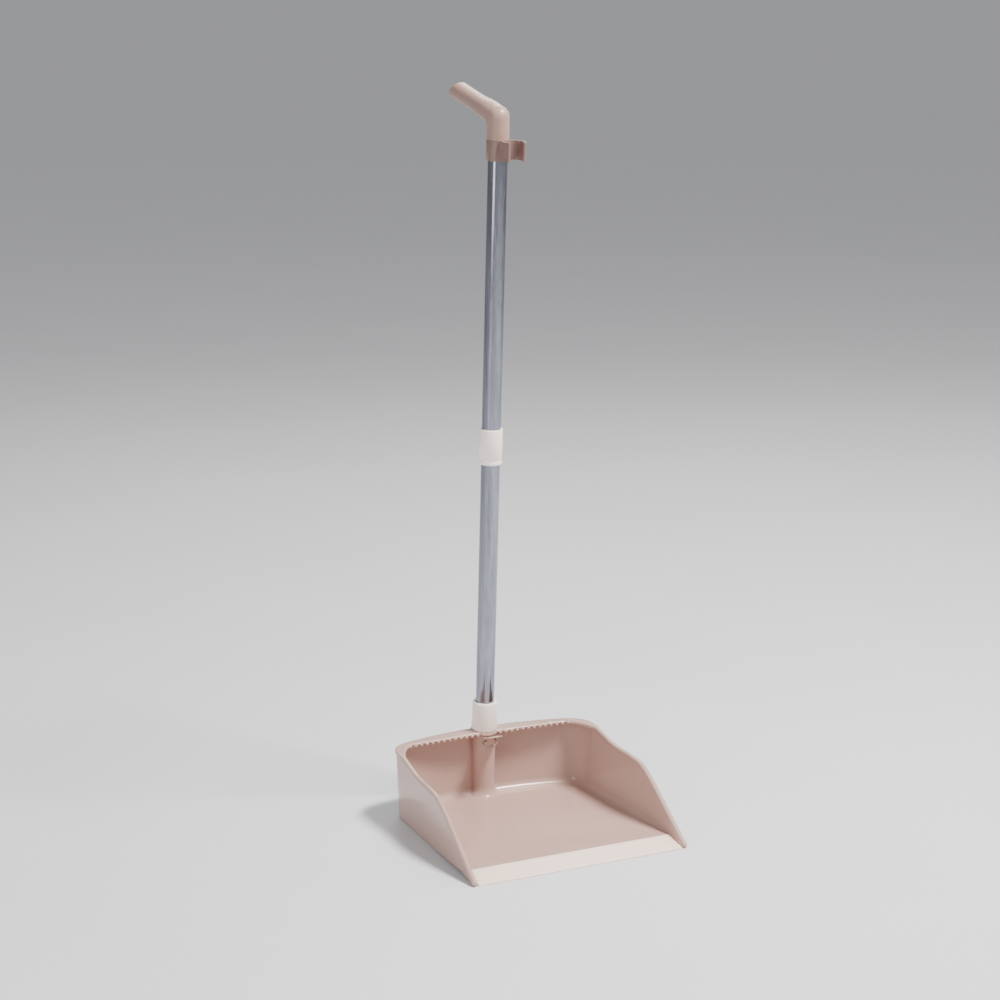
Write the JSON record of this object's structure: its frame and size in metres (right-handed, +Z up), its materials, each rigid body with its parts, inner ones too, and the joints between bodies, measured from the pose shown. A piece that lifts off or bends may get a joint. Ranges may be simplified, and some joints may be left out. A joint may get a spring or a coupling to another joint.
{
  "type": "long-handled dust pan",
  "caption": "Free-standing dust pan with a leaning two-section tube handle, bent grip, comb rim and a C-shaped clip for a broom stick.",
  "frame": {"origin": "bottom centre of the whole object's box, on the ground the pan rests on", "axes": "+Z up, -Y towards the pan's open front edge, +X to the right for someone facing +Y; the object is symmetric about X = 0"},
  "size_m": [0.2546, 0.31, 0.8077],
  "materials": {
    "taupe_plastic": "glossy moulded polypropylene, warm taupe",
    "soft_lip": "satin soft lip, pale taupe",
    "dark_taupe_plastic": "semi-gloss moulded plastic, deeper taupe",
    "white_plastic": "smooth off-white moulded plastic",
    "stainless_tube": "polished stainless tube with fine drawing lines"
  },
  "bodies": {
    "scoop": {"pan": "taupe_plastic", "lip_strip": "soft_lip", "tab_pin": "stainless_tube"},
    "latch": {"release_tab": "taupe_plastic"},
    "lower_handle": {"lower_sleeve": "white_plastic", "lower_tube": "stainless_tube", "mid_coupling": "white_plastic"},
    "upper_handle": {"upper_tube": "stainless_tube", "grip": "dark_taupe_plastic"},
    "clip": {"broom_clip": "dark_taupe_plastic"}
  },
  "joints": [
    {"name": "handle_lift", "type": "slide", "parent": "scoop", "child": "lower_handle", "axis": [0, -0.0755, 0.9971], "range_m": [0, 0.06]},
    {"name": "upper_pull", "type": "slide", "parent": "lower_handle", "child": "upper_handle", "axis": [0, -0.0755, 0.9971], "range_m": [0, 0.018]},
    {"name": "clip_swivel", "type": "hinge", "parent": "upper_handle", "child": "clip", "pos_m": [0, 0.04361, 0.74362], "axis": [0, -0.0755, 0.9971], "continuous": true},
    {"name": "tab_press", "type": "hinge", "parent": "scoop", "child": "latch", "pos_m": [0, 0.07741, 0.0686], "axis": [1, 0, 0], "range_deg": [0, 10], "stiffness_Nm_per_rad": 0.08}
  ]
}
